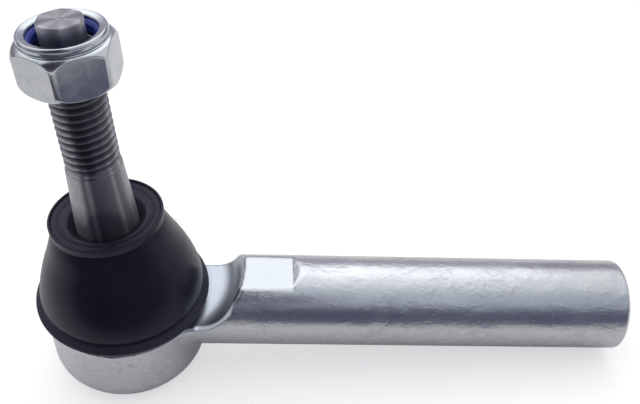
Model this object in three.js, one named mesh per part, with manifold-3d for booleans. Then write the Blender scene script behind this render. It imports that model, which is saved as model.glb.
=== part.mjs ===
// Outer tie rod end: a ball stud held in a forged socket, with a rubber dust boot,
// a tubular shank with a female thread, and a prevailing-torque lock nut on the stud.
//
// Millimetres. The origin is the centre of the end cover's flat underside. +Z runs up
// through the ball centre, and +X runs along the shank towards its threaded mouth.
// Heights below are measured from the ball centre and lifted by BALL_HEIGHT at the end.

import * as THREE from 'three';
import { mergeVertices } from 'three/addons/utils/BufferGeometryUtils.js';
import Module from 'manifold-3d';

const wasm = await Module();
wasm.setup();

// ---- driving dimensions -------------------------------------------------------------

const GAP = 0.3;                 // running and seating gap between neighbouring pieces

const BALL_HEIGHT = 18.0;        // ball centre above the end cover's underside
const BALL_R = 12.5;
const NECK_R = 6.3;              // stud neck just above the ball
const SEAT_R = 7.2;              // cylinder that the boot lip runs on
const TAPER_BIG_R = 7.2;         // 1:8 taper, big end inside the boot flange
const TAPER_TOP_R = 6.22;
const TAPER_BASE_Z = 26.4;
const TAPER_TOP_Z = 42.1;

const THREAD_R = 6.0;            // M12 x 1.75
const THREAD_PITCH = 1.75;
const THREAD_DEPTH = 0.947;
const THREAD_TURNS = 15;         // full helical turns
const THREAD_START_Z = 42.6;
const PILOT_R = 4.8;             // end of the stud beyond the thread
const PILOT_FLAT = 4.4;          // half the distance across its six flats
const TIP_Z = 76.7;

const STUD_TILT_X = -2.928;      // the stud rests leaning: degrees about X, then about Y
const STUD_TILT_Y = -3.416;

const HOUSING_R = 19.3;
const BORE_R = 15.1;             // socket bore, open at the bottom until the cover is in
const OPENING_R = 12.0;          // mouth that the stud swings in
const SHOULDER_Z = 1.3;          // faced shoulder and neck relief
const NECK_SEAT_R = 17.1;        // collar that the boot base is pressed on
const HOUSING_TOP_Z = 6.3;
const HOUSING_BOTTOM_Z = -17.6;
const COVER_R = 15.6;

const SHANK_R = 11.3;
const SHANK_END_X = 125.8;
const SHANK_CHAMFER = 0.7;
const SHANK_BORE_R = 6.2;        // minor diameter of the M14 x 1.5 female thread
const SHANK_BORE_DEPTH = 54;
const FLAT_HALF = 10.0;          // two wrench flats, 20 across
const FLAT_START_X = 29.2;
const FLAT_END_X = 41.8;

// neck relief about the stud's vertical: [on the near side, on the far side] of the shank
const RELIEF_FLOOR_R = [20.8, 24.6];
const RELIEF_FILLET_R = [8.0, 4.5];
const RELIEF_FLOOR_Z = [1.3, 0.6];
const RELIEF_WALL_DEG = 78;

const NUT_BASE_Z = 63.1;
const NUT_TOP_Z = 74.6;
const NUT_AF_HALF = 9.5;         // 19 across flats
const NUT_CORNER_R = 10.75;
const NUT_PHASE = -91.8;         // angle of one corner about the stud, degrees
const NUT_COLLAR_R = 8.87;
const NYLON_Z = [71.1, 73.5];

// outer profile of the boot, as [height, radius]
const BOOT_WALL = [
  [7.8, 19.42], [11, 18.75], [14, 17.7], [17, 16.35], [20, 15.0], [24.5, 13.1],
];
const BOOT_THICKNESS = 1.6;
const BOOT_BEND = [6, 24];       // the boot leans over between these heights

const ROUND = 32;                // facets round the larger bodies
const FINE = 20;                 // facets round the stud and nut

// ---- helpers --------------------------------------------------------------------------

const rad = THREE.MathUtils.degToRad;

// merges shared vertices, drops empty triangles and turns every face outwards
function weld(geometry) {
  let g = geometry;
  g.deleteAttribute('normal');
  g.deleteAttribute('uv');
  if (!g.index) g.setIndex([...Array(g.getAttribute('position').count).keys()]);
  g = mergeVertices(g, 1e-4);
  const p = g.getAttribute('position');
  const index = g.getIndex().array;
  const kept = [];
  let volume = 0;
  const a = new THREE.Vector3(), b = new THREE.Vector3(), c = new THREE.Vector3();
  for (let i = 0; i < index.length; i += 3) {
    const [u, v, w] = [index[i], index[i + 1], index[i + 2]];
    if (u === v || v === w || w === u) continue;
    kept.push(u, v, w);
    a.fromBufferAttribute(p, u); b.fromBufferAttribute(p, v); c.fromBufferAttribute(p, w);
    volume += a.dot(b.cross(c));
  }
  if (volume < 0) for (let i = 0; i < kept.length; i += 3) [kept[i + 1], kept[i + 2]] = [kept[i + 2], kept[i + 1]];
  const out = new THREE.BufferGeometry();
  out.setAttribute('position', p);
  out.setIndex(kept);
  return out;
}

// revolves [radius, height] points about Z; the points start and end on the axis or close on themselves
function turned(points, segments = ROUND, phase = 0) {
  const g = new THREE.LatheGeometry(points.map(([r, z]) => new THREE.Vector2(r, z)), segments);
  g.rotateX(Math.PI / 2);
  g.rotateZ(rad(phase));
  return weld(g);
}

function ringOf(points, segments, phase) {
  return turned([...points, points[0]], segments, phase);
}

function solid(geometry) {
  const g = weld(geometry.clone());
  return new wasm.Manifold(new wasm.Mesh({
    numProp: 3,
    vertProperties: Float32Array.from(g.getAttribute('position').array),
    triVerts: Uint32Array.from(g.getIndex().array),
  }));
}

function surface(manifold) {
  const m = manifold.getMesh();
  const g = new THREE.BufferGeometry();
  const xyz = new Float32Array(m.numVert * 3);
  for (let i = 0; i < m.numVert; i++) for (let k = 0; k < 3; k++) xyz[3 * i + k] = m.vertProperties[i * m.numProp + k];
  g.setAttribute('position', new THREE.BufferAttribute(xyz, 3));
  g.setIndex([...m.triVerts]);
  return g;
}

// A turned bar with one helical thread in its length. lower and upper are the [radius, height]
// profiles below and above the thread, each starting or ending on the axis. The helix is right-handed,
// one row of vertices per profile point and per step, and it fades into the core at both ends.
function threadedBar({ lower, upper, start, turns, pitch, crest, depth, segments, fade = 0.5, shape }) {
  const n = segments;
  const root = crest - depth;
  const flank = depth * Math.tan(rad(30));
  const flat = (pitch - 2 * flank) / 3;
  const profile = [[0, 0], [flank, 1], [flank + flat, 1], [2 * flank + flat, 0]];
  const steps = turns * n;
  const xyz = [];
  const tri = [];
  const point = (r, angle, z) => {
    const k = shape ? shape(r, angle, z) : r;
    xyz.push(k * Math.cos(angle), k * Math.sin(angle), z);
    return xyz.length / 3 - 1;
  };
  const angleOf = (j) => (2 * Math.PI * j) / n;
  const helix = [];
  for (let s = 0; s <= steps; s++) {
    const grow = Math.min(1, s / (fade * n), (steps - s) / (fade * n));
    helix.push(profile.map(([dz, k]) => point(root + depth * k * grow, angleOf(s % n), start + (pitch * s) / n + dz)));
  }
  const quad = (a, b, c, d) => tri.push(a, b, c, a, c, d);
  for (let s = 0; s < steps; s++) {
    for (let k = 0; k < 3; k++) quad(helix[s][k], helix[s + 1][k], helix[s + 1][k + 1], helix[s][k + 1]);
    if (s + n < steps) quad(helix[s][3], helix[s + 1][3], helix[s + 1 + n][0], helix[s + n][0]);
  }
  // one full ring of vertices at a fixed height
  const ring = (r, z) => Array.from({ length: n }, (_, j) => point(r, angleOf(j), z));
  // the last row of the helix, one turn long, is closed against the ring above it
  const below = ring(root, start - 0.35);
  const above = ring(root, start + pitch * (turns + 1) + 0.35);
  for (let j = 0; j < n - 1; j++) quad(below[j], below[j + 1], helix[j + 1][0], helix[j][0]);
  const chainUp = [below[0], ...helix[0], helix[n][0]];
  const hub = helix[n - 1][0];
  tri.push(hub, below[n - 1], below[0]);
  for (let k = 0; k < chainUp.length - 1; k++) tri.push(hub, chainUp[k], chainUp[k + 1]);
  const last = steps;
  for (let j = 1; j < n; j++) quad(helix[last - n + j][3], helix[last - n + j + 1][3], above[(j + 1) % n], above[j]);
  const chainDown = [helix[last - n][3], helix[last][0], helix[last][1], helix[last][2], helix[last][3], above[0]];
  const foot = helix[last - n + 1][3];
  for (let k = 0; k < chainDown.length - 1; k++) tri.push(foot, chainDown[k + 1], chainDown[k]);
  tri.push(foot, above[1], above[0]);
  const stack = (rings) => {
    for (let i = 0; i + 1 < rings.length; i++) {
      const [p, q] = [rings[i], rings[i + 1]];
      for (let j = 0; j < n; j++) {
        const l = (j + 1) % n;
        if (p.length === 1) tri.push(p[0], q[l], q[j]);
        else if (q.length === 1) tri.push(p[j], p[l], q[0]);
        else quad(p[j], p[l], q[l], q[j]);
      }
    }
  };
  const rings = (points) => points.map(([r, z]) => (r === 0 ? [point(0, 0, z)] : ring(r, z)));
  stack([...rings(lower), below]);
  stack([above, ...rings(upper)]);
  const g = new THREE.BufferGeometry();
  g.setAttribute('position', new THREE.BufferAttribute(new Float32Array(xyz), 3));
  g.setIndex(tri);
  return weld(g);
}

// leans a boot solid over: no lean below the first height, the stud's full lean above the second
function leaned(geometry) {
  const p = geometry.getAttribute('position');
  const v = new THREE.Vector3();
  for (let i = 0; i < p.count; i++) {
    v.fromBufferAttribute(p, i);
    const t = THREE.MathUtils.smoothstep(v.z, BOOT_BEND[0], BOOT_BEND[1]);
    v.applyEuler(new THREE.Euler(rad(STUD_TILT_X * t), rad(STUD_TILT_Y * t), 0, 'XYZ'));
    p.setXYZ(i, v.x, v.y, v.z);
  }
  return geometry;
}

const finishes = {
  zinc: { color: 0xb9bdc4, roughness: 0.36, metalness: 0.9 },
  steel: { color: 0x8d8a92, roughness: 0.38, metalness: 0.95 },
  nutZinc: { color: 0xc6cad2, roughness: 0.25, metalness: 0.95 },
  rubber: { color: 0x17171d, roughness: 0.55, metalness: 0.0 },
  nylon: { color: 0x26348c, roughness: 0.4, metalness: 0.0 },
  acetal: { color: 0xe6e3da, roughness: 0.45, metalness: 0.0 },
  spring: { color: 0x6f7278, roughness: 0.4, metalness: 0.9 },
};

function piece(name, geometry, finish) {
  const g = geometry.index ? geometry.toNonIndexed() : geometry;
  g.computeVertexNormals();
  const mesh = new THREE.Mesh(g, new THREE.MeshStandardMaterial(finishes[finish]));
  mesh.name = name;
  return mesh;
}

// ---- housing: forged socket and tubular shank in one piece ------------------------------

const socketOuter = turned([
  [0, HOUSING_BOTTOM_Z], [16.4, HOUSING_BOTTOM_Z], [17.2, -17.0], [HOUSING_R, -14.0],
  [HOUSING_R, SHOULDER_Z - 0.4], [HOUSING_R - 0.4, SHOULDER_Z], [NECK_SEAT_R, SHOULDER_Z],
  [NECK_SEAT_R, HOUSING_TOP_Z - 0.4], [NECK_SEAT_R - 0.4, HOUSING_TOP_Z], [0, HOUSING_TOP_Z],
], 36);

// the space inside: crimped lip, cover seat, bore, retaining shoulder and stud mouth
const socketInner = turned([
  [0, HOUSING_BOTTOM_Z - 1], [14.3, HOUSING_BOTTOM_Z - 1], [14.3, HOUSING_BOTTOM_Z + 0.1], [14.1, -17.2],
  [COVER_R + GAP, -17.2], [COVER_R + GAP, -15.5], [BORE_R, -15.5], [BORE_R, 2.1],
  [12.95, 4.9], [OPENING_R, 4.9], [OPENING_R, 5.5], [12.8, HOUSING_TOP_Z + 0.01], [12.8, HOUSING_TOP_Z + 1], [0, HOUSING_TOP_Z + 1],
], 36);

const alongX = (g) => { g.rotateY(Math.PI / 2); return g; };

const shankBar = alongX(turned([
  [0, 13], [SHANK_R, 13], [SHANK_R, SHANK_END_X - SHANK_CHAMFER], [SHANK_R - SHANK_CHAMFER, SHANK_END_X], [0, SHANK_END_X],
], 36, 5));

const shankBore = alongX(turned([
  [0, SHANK_END_X - SHANK_BORE_DEPTH - 3.7], [SHANK_BORE_R, SHANK_END_X - SHANK_BORE_DEPTH],
  [SHANK_BORE_R, SHANK_END_X - 1.1], [SHANK_BORE_R + 1.2, SHANK_END_X + 0.1], [SHANK_BORE_R + 1.2, SHANK_END_X + 2], [0, SHANK_END_X + 2],
], 24, 7.5));

// relief about the vertical axis, so that a boot and its tool clear the shank. Across the
// shank its floor widens and falls a little, and its fillet tightens.
const RELIEF_STEPS = 5;
const between = ([a, b], t) => a + (b - a) * t;

function reliefProfile(t) {
  const floorR = between(RELIEF_FLOOR_R, t);
  const filletR = between(RELIEF_FILLET_R, t);
  const floorZ = between(RELIEF_FLOOR_Z, t);
  const points = [
    [0, HOUSING_TOP_Z], [NECK_SEAT_R - 0.4, HOUSING_TOP_Z], [NECK_SEAT_R, HOUSING_TOP_Z - 0.4],
    [NECK_SEAT_R, SHOULDER_Z], [HOUSING_R + 0.15, SHOULDER_Z], [floorR, floorZ],
  ];
  for (let i = 1; i <= RELIEF_STEPS; i++) {
    const a = rad((RELIEF_WALL_DEG * i) / RELIEF_STEPS);
    points.push([floorR + filletR * Math.sin(a), floorZ + filletR * (1 - Math.cos(a))]);
  }
  const [r, z] = points.at(-1);
  points.push([r + (14 - z) / Math.tan(rad(RELIEF_WALL_DEG)), 14]);
  points.push([0, 14]);
  return points;
}

const nearProfile = reliefProfile(0);
const relief = turned(nearProfile, 48);
const reliefPoints = relief.attributes.position;
for (let i = 0; i < reliefPoints.count; i++) {
  const x = reliefPoints.getX(i);
  const y = reliefPoints.getY(i);
  const z = reliefPoints.getZ(i);
  const rho = Math.hypot(x, y);
  const j = nearProfile.findIndex(([r, h]) => Math.abs(r - rho) < 1e-3 && Math.abs(h - z) < 1e-3);
  if (rho < 1e-6 || j < 0) continue;
  let [r, h] = nearProfile[j];
  for (let k = 0; k < 12; k++) {
    const t = Math.min(1, Math.max(0, ((y / rho) * r + SHANK_R) / (2 * SHANK_R)));
    [r, h] = reliefProfile(t)[j];
  }
  reliefPoints.setXYZ(i, (x / rho) * r, (y / rho) * r, h);
}

// wrench flats, one above and one below, each running out up a slope
function flatCutter(sign, slopedStart) {
  const s = new THREE.Shape();
  const out = SHANK_R + 2;
  const slope = (out - FLAT_HALF) / Math.tan(rad(30));
  s.moveTo(slopedStart ? FLAT_START_X : 20, sign * FLAT_HALF);
  s.lineTo(FLAT_END_X, sign * FLAT_HALF);
  s.lineTo(FLAT_END_X + slope, sign * out);
  s.lineTo(slopedStart ? FLAT_START_X - slope : 20, sign * out);
  s.closePath();
  const g = new THREE.ExtrudeGeometry(s, { depth: 20, bevelEnabled: false });
  g.translate(0, 0, -10);
  g.rotateX(Math.PI / 2);
  return g;
}

const housing = solid(socketOuter)
  .add(solid(shankBar))
  .subtract(solid(relief))
  .subtract(solid(flatCutter(1, false)))
  .subtract(solid(flatCutter(-1, true)))
  .subtract(solid(socketInner))
  .subtract(solid(shankBore));

// ---- pieces inside the socket -----------------------------------------------------------

const cupR = BALL_R + GAP;
const shellR = BORE_R - GAP;

function sphereArc(z0, z1, steps) {
  return Array.from({ length: steps + 1 }, (_, i) => {
    const z = z0 + ((z1 - z0) * i) / steps;
    return [Math.sqrt(Math.max(0, cupR * cupR - z * z)), z];
  });
}

const lowerBearing = ringOf([
  [3.0, -14.2], [shellR - 1.2, -14.2], [shellR, -13.0], [shellR, -1.0],
  ...sphereArc(-1.0, -12.2, 7), [3.0, -12.7],
], ROUND);

const upperBearing = ringOf([
  [shellR, -0.7], [shellR, 2.0], [12.7, 4.6], ...sphereArc(4.6, -0.7, 3),
], ROUND);

const discSpring = ringOf([[5.0, -14.5], [5.0, -15.0], [12.6, -15.5], [12.6, -15.0]], ROUND);

const endCover = turned([
  [0, -BALL_HEIGHT], [11.6, -BALL_HEIGHT], [12.4, -17.7], [13.1, -16.9], [COVER_R - 0.3, -16.9], [COVER_R, -16.6],
  [COVER_R, -15.8], [11.6, -15.8], [10.8, -16.4], [0, -16.4],
], ROUND);

// ---- ball stud ----------------------------------------------------------------------------

const ballProfile = [[0, -12.0], [3.5, -12.0]];
for (let i = 1; i <= 9; i++) {
  const a = rad(-73.74 + (i * (59.75 + 73.74)) / 9);
  ballProfile.push([BALL_R * Math.cos(a), BALL_R * Math.sin(a)]);
}

const studLower = [
  ...ballProfile, [NECK_R, 11.6], [NECK_R, 17.0], [SEAT_R, 19.0], [TAPER_BIG_R, TAPER_BASE_Z], [TAPER_TOP_R, TAPER_TOP_Z], [THREAD_R - THREAD_DEPTH, TAPER_TOP_Z + 0.2],
];
const threadEnd = THREAD_START_Z + THREAD_PITCH * (THREAD_TURNS + 1) + 0.35;
const studUpper = [[PILOT_R, threadEnd + 0.5], [PILOT_R, TIP_Z - 0.6], [PILOT_R - 0.5, TIP_Z], [0, TIP_Z]];

// six shallow flats on the pilot, with round corners left between them
const pilotShape = (r, angle, z) => {
  if (z < threadEnd + 0.4) return r;
  const sixth = Math.PI / 3;
  const off = ((angle % sixth) + sixth) % sixth - sixth / 2;
  return Math.min(r, (PILOT_FLAT - (PILOT_R - r)) / Math.cos(off));
};

const thread = { start: THREAD_START_Z, pitch: THREAD_PITCH, depth: THREAD_DEPTH, segments: FINE };

const ballStud = threadedBar({
  ...thread, lower: studLower, upper: studUpper, turns: THREAD_TURNS, crest: THREAD_R, shape: pilotShape,
});

// ---- lock nut and its insert -----------------------------------------------------------------

function hexPrism(flatHalf, z0, z1) {
  const s = new THREE.Shape();
  for (let k = 0; k < 6; k++) {
    const a = rad(NUT_PHASE + 60 * k);
    const c = flatHalf / Math.cos(rad(30));
    if (k === 0) s.moveTo(c * Math.cos(a), c * Math.sin(a));
    else s.lineTo(c * Math.cos(a), c * Math.sin(a));
  }
  s.closePath();
  const g = new THREE.ExtrudeGeometry(s, { depth: z1 - z0, bevelEnabled: false });
  g.translate(0, 0, z0);
  return g;
}

const nutEnvelope = turned([
  [0, NUT_BASE_Z], [8.6, NUT_BASE_Z], [9.5, 63.45], [10.2, 64.1], [10.6, 64.9], [NUT_CORNER_R, 65.8], [NUT_CORNER_R, 70.3],
  [10.4, 71.7], [9.5, 72.55], [8.7, 72.9], [8.7, 73.1], [NUT_COLLAR_R, 73.4], [NUT_COLLAR_R, 73.9],
  [8.4, 74.45], [7.7, NUT_TOP_Z], [0, NUT_TOP_Z],
], 36);

// the helical tool is the stud's own thread, one clearance larger all over
const cutThread = threadedBar({
  start: THREAD_START_Z + THREAD_PITCH * 9, pitch: THREAD_PITCH, depth: THREAD_DEPTH, segments: FINE,
  turns: 9, crest: THREAD_R + 0.35, fade: 0.05,
  lower: [[0, 55], [THREAD_R - THREAD_DEPTH + 0.35, 55]],
  upper: [[THREAD_R - THREAD_DEPTH + 0.35, 79], [0, 79]],
});

const nutBore = turned([
  [0, NUT_BASE_Z - 1], [7.4, NUT_BASE_Z - 1], [7.4, NUT_BASE_Z - 0.01], [6.5, NUT_BASE_Z + 0.8], [0, NUT_BASE_Z + 0.8],
], FINE);
const insertRecess = turned([
  [0, NYLON_Z[0] - GAP], [7.9, NYLON_Z[0] - GAP], [7.9, NYLON_Z[1] + GAP], [6.8, NYLON_Z[1] + GAP + 0.1],
  [6.8, NUT_TOP_Z - 0.3], [7.2, NUT_TOP_Z + 0.01], [7.2, NUT_TOP_Z + 1], [0, NUT_TOP_Z + 1],
], 36);

const lockNut = solid(hexPrism(NUT_AF_HALF, NUT_BASE_Z - 1, NUT_TOP_Z + 1))
  .intersect(solid(nutEnvelope))
  .subtract(solid(cutThread))
  .subtract(solid(nutBore))
  .subtract(solid(insertRecess));

const nylonInsert = ringOf([
  [THREAD_R + GAP, NYLON_Z[0]], [7.6, NYLON_Z[0]], [7.6, NYLON_Z[1]], [THREAD_R + GAP + 0.3, NYLON_Z[1]], [THREAD_R + GAP, NYLON_Z[1] - 0.4],
], 36);

// ---- dust boot: one rubber moulding in three lengths, with its two rings ------------------------

const bootBase = ringOf([
  [17.4, 1.6], [19.2, 1.6], [20.5, 3.0], [21.0, 3.7], [21.0, 4.0], [19.5, 5.45], [19.5, 7.5], [17.7, 7.5],
  [17.4, 7.0], [17.4, 5.5], [18.9, 5.5], [18.9, 2.4], [17.4, 2.4],
], 36);

const bootBaseRing = ringOf([[17.5, 2.7], [18.6, 2.7], [18.6, 5.2], [17.5, 5.2]], 36);

const wallInside = BOOT_WALL.map(([z, r]) => [r - BOOT_THICKNESS, z]).reverse();
const bootWall = leaned(ringOf([...BOOT_WALL.map(([z, r]) => [r, z]), ...wallInside], 36));

const bootTop = ringOf([
  [SEAT_R + GAP, 22.6], [9.0, 22.6], [9.2, 24.8], [12.95, 24.8], [12.4, 25.7], [13.17, 26.3], [13.17, 27.9], [12.6, 28.05],
  [11.6, 27.4], [9.6, 27.2], [8.6, 26.4], [SEAT_R + GAP, 25.9],
], ROUND);

const bootTopRing = ringOf([[9.5, 23.0], [10.3, 23.0], [10.3, 24.4], [9.5, 24.4]], ROUND);

// ---- assembly -----------------------------------------------------------------------------------

const part = new THREE.Group();
part.name = 'tie_rod_end';

const ball = new THREE.Group();          // everything is placed from the ball centre
ball.position.set(0, 0, BALL_HEIGHT);
part.add(ball);

ball.add(
  piece('housing', surface(housing), 'zinc'),
  piece('end_cover', endCover, 'zinc'),
  piece('disc_spring', discSpring, 'spring'),
  piece('lower_bearing', lowerBearing, 'acetal'),
  piece('upper_bearing', upperBearing, 'acetal'),
  piece('boot_base', bootBase, 'rubber'),
  piece('boot_base_ring', bootBaseRing, 'spring'),
  piece('boot_wall', bootWall, 'rubber'),
);

const stud = new THREE.Group();          // leans with the stud
stud.rotation.set(rad(STUD_TILT_X), rad(STUD_TILT_Y), 0, 'XYZ');
ball.add(stud);

stud.add(
  piece('boot_top', bootTop, 'rubber'),
  piece('boot_top_ring', bootTopRing, 'spring'),
  piece('ball_stud', ballStud, 'steel'),
  piece('lock_nut', surface(lockNut), 'nutZinc'),
  piece('nylon_insert', nylonInsert, 'nylon'),
);

export default part;
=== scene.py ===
import math

import bpy
import numpy as np
from mathutils import Matrix, Vector


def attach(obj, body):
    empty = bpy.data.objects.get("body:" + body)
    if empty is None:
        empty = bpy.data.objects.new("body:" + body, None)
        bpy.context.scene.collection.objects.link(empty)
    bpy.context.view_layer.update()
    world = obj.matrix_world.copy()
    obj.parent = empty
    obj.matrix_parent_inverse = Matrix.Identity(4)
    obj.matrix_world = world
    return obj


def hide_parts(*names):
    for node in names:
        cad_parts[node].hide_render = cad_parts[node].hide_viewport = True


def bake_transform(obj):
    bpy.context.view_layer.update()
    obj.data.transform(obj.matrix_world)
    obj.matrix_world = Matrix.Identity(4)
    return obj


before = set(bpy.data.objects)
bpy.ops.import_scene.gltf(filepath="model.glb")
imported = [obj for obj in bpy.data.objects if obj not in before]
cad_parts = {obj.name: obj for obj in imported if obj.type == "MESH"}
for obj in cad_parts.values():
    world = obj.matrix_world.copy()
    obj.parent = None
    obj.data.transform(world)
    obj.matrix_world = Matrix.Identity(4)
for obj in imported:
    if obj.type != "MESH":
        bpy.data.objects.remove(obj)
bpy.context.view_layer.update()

# ------------------------------------------------------------------ frame and sizes (mm, from the ball centre)
MM = 0.001
BALL_Z = 18.0
TILT_X, TILT_Y = math.radians(-2.928), math.radians(-3.416)


def rot_x(a):
    c, s = math.cos(a), math.sin(a)
    return np.array([[1, 0, 0], [0, c, -s], [0, s, c]])


def rot_y(a):
    c, s = math.cos(a), math.sin(a)
    return np.array([[c, 0, s], [0, 1, 0], [-s, 0, c]])


LEAN = rot_x(TILT_X) @ rot_y(TILT_Y)          # the stud's own frame in the row frame
STUD = LEAN @ np.array([0.0, 0.0, 1.0])


def smoothstep(a, b, x):
    t = np.clip((np.asarray(x, float) - a) / (b - a), 0, 1)
    return t * t * (3 - 2 * t)


# ------------------------------------------------------------------ mesh helpers
def upright(v):
    return v


def stud_frame(v):
    return v @ LEAN.T


def leaned(v):
    """The boot: no lean below 6 mm, the stud's full lean above 24 mm."""
    t = smoothstep(6, 24, v[:, 2])
    ax, ay = TILT_X * t, TILT_Y * t
    x = v[:, 0] * np.cos(ay) + v[:, 2] * np.sin(ay)
    z = -v[:, 0] * np.sin(ay) + v[:, 2] * np.cos(ay)
    y = v[:, 1]
    return np.stack([x, y * np.cos(ax) - z * np.sin(ax), y * np.sin(ax) + z * np.cos(ax)], 1)


def make(name, verts, faces, material, place=upright, sharp=38, attributes=None):
    """A mesh object from millimetre points measured from the ball centre."""
    v = place(np.asarray(verts, float)) + np.array([0, 0, BALL_Z])
    mesh = bpy.data.meshes.new(name)
    faces = [np.asarray(f) for f in faces if len(f)]
    loops = np.concatenate([f.ravel() for f in faces]).astype(np.int32)
    totals = np.concatenate([np.full(len(f), f.shape[1]) for f in faces]).astype(np.int32)
    starts = np.concatenate([[0], np.cumsum(totals)[:-1]]).astype(np.int32)
    mesh.vertices.add(len(v))
    mesh.vertices.foreach_set("co", (v * MM).astype(np.float32).ravel())
    mesh.loops.add(len(loops))
    mesh.loops.foreach_set("vertex_index", loops)
    mesh.polygons.add(len(totals))
    mesh.polygons.foreach_set("loop_start", starts)
    mesh.update(calc_edges=True)
    mesh.validate()
    for key, values in (attributes or {}).items():
        values = np.asarray(values, np.float32)
        a = mesh.attributes.new(key, "FLOAT_VECTOR" if values.ndim == 2 else "FLOAT", "POINT")
        a.data.foreach_set("vector" if values.ndim == 2 else "value", values.ravel())
    if material:
        mesh.materials.append(material)
    o = bpy.data.objects.new(name, mesh)
    bpy.context.scene.collection.objects.link(o)
    smooth(o, sharp)
    return o


def smooth(o, degrees):
    """Shades smooth, with an edge sharp where its two faces turn by more than this."""
    me = o.data
    me.update()
    n = len(me.polygons)
    me.polygons.foreach_set("use_smooth", np.ones(n, bool))
    normals = np.zeros(n * 3, np.float32)
    me.polygons.foreach_get("normal", normals)
    normals = normals.reshape(-1, 3)
    total = np.zeros(n, np.int32)
    me.polygons.foreach_get("loop_total", total)
    poly = np.repeat(np.arange(n), total)
    edge = np.zeros(len(me.loops), np.int32)
    me.loops.foreach_get("edge_index", edge)
    order = np.argsort(edge, kind="stable")
    e, p = edge[order], poly[order]
    pair = np.nonzero(e[:-1] == e[1:])[0]
    dot = (normals[p[pair]] * normals[p[pair + 1]]).sum(1)
    flag = np.zeros(len(me.edges), bool)
    flag[e[pair[dot < math.cos(math.radians(degrees))]]] = True
    if "sharp_edge" not in me.attributes:
        me.attributes.new("sharp_edge", "BOOLEAN", "EDGE")
    me.attributes["sharp_edge"].data.foreach_set("value", flag)
    me.update()


def fillet(points, steps=4, closed=False):
    """Rounds the corners of a profile: each point is (r, z) or (r, z, radius)."""
    pts = [np.array(p[:2], float) for p in points]
    rad = [p[2] if len(p) > 2 else 0.0 for p in points]
    out = []
    count = len(pts)
    for i in range(count):
        if rad[i] <= 0 or (not closed and i in (0, count - 1)):
            out.append(pts[i])
            continue
        a, b, c = pts[i - 1], pts[i], pts[(i + 1) % count]
        u, w = a - b, c - b
        lu, lw = np.linalg.norm(u), np.linalg.norm(w)
        if lu < 1e-9 or lw < 1e-9:
            out.append(b)
            continue
        u, w = u / lu, w / lw
        half = math.acos(max(-1, min(1, float(u @ w)))) / 2
        if half > math.pi / 2 - 0.01:
            out.append(b)
            continue
        t = min(rad[i] / math.tan(half), 0.48 * lu, 0.48 * lw)
        r = t * math.tan(half)
        centre = b + (u + w) / np.linalg.norm(u + w) * (r / math.sin(half))
        s, e = b + u * t - centre, b + w * t - centre
        a0 = math.atan2(s[1], s[0])
        turn = math.atan2(s[0] * e[1] - s[1] * e[0], float(s @ e))
        for k in range(steps + 1):
            ang = a0 + turn * k / steps
            out.append(centre + r * np.array([math.cos(ang), math.sin(ang)]))
    return [tuple(p) for p in out]


def curve_through(points, step=0.35):
    """A Catmull-Rom curve through (r, z) points."""
    p = [np.array(q, float) for q in points]
    p = [2 * p[0] - p[1]] + p + [2 * p[-1] - p[-2]]
    out = []
    for i in range(1, len(p) - 2):
        n = max(2, int(np.linalg.norm(p[i + 1] - p[i]) / step))
        for k in range(n):
            t = k / n
            out.append(tuple(0.5 * (2 * p[i] + (p[i + 1] - p[i - 1]) * t
                                    + (2 * p[i - 1] - 5 * p[i] + 4 * p[i + 1] - p[i + 2]) * t ** 2
                                    + (3 * p[i] - p[i - 1] - 3 * p[i + 1] + p[i + 2]) * t ** 3)))
    out.append(tuple(p[-2]))
    return out


def densify(points, step):
    out = []
    for (r0, z0), (r1, z1) in zip(points[:-1], points[1:]):
        n = max(1, int(math.ceil(math.hypot(r1 - r0, z1 - z0) / step)))
        for k in range(n):
            out.append((r0 + (r1 - r0) * k / n, z0 + (z1 - z0) * k / n))
    out.append(points[-1])
    return out


def polar(points, n, radius=None, closed=False):
    """Revolves (r, z) points about Z. radius(r, angle, z) may change the radius. Ends on the axis close to a point."""
    ang = np.linspace(0, 2 * math.pi, n, endpoint=False)
    c, s = np.cos(ang), np.sin(ang)
    verts, rows = [], []
    total = 0
    for r, z in points:
        if r < 1e-9 and not closed:
            verts.append(np.array([[0, 0, z]]))
            rows.append(np.full(n, total))
            total += 1
        else:
            rr = np.full(n, r) if radius is None else radius(r, ang, z)
            verts.append(np.stack([rr * c, rr * s, np.full(n, z)], 1))
            rows.append(np.arange(total, total + n))
            total += n
    v = np.concatenate(verts)
    quads, tris = [], []
    pairs = list(zip(rows[:-1], rows[1:])) + ([(rows[-1], rows[0])] if closed else [])
    for a, b in pairs:
        a1, b1 = np.roll(a, -1), np.roll(b, -1)
        if a[0] == a[1]:
            tris.append(np.stack([a, b1, b], 1))
        elif b[0] == b[1]:
            tris.append(np.stack([a, a1, b], 1))
        else:
            quads.append(np.stack([a, a1, b1, b], 1))
    faces = [np.concatenate(x) for x in (quads, tris) if x]
    # faces out: the signed volume tells which way the profile ran
    vol = 0.0
    for f in faces:
        for k in range(1, f.shape[1] - 1):
            vol += np.einsum("ij,ij->i", v[f[:, 0]], np.cross(v[f[:, k]], v[f[:, k + 1]])).sum()
    if vol < 0:
        faces = [f[:, ::-1] for f in faces]
    return v, faces


def apply_boolean(o, tool, operation="DIFFERENCE"):
    m = o.modifiers.new("cut", "BOOLEAN")
    m.operation = operation
    m.solver = "MANIFOLD"
    m.object = tool
    dg = bpy.context.evaluated_depsgraph_get()
    new = bpy.data.meshes.new_from_object(o.evaluated_get(dg), depsgraph=dg)
    o.modifiers.clear()
    old = o.data
    o.data = new
    bpy.data.meshes.remove(old)
    bpy.data.objects.remove(tool)


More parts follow.
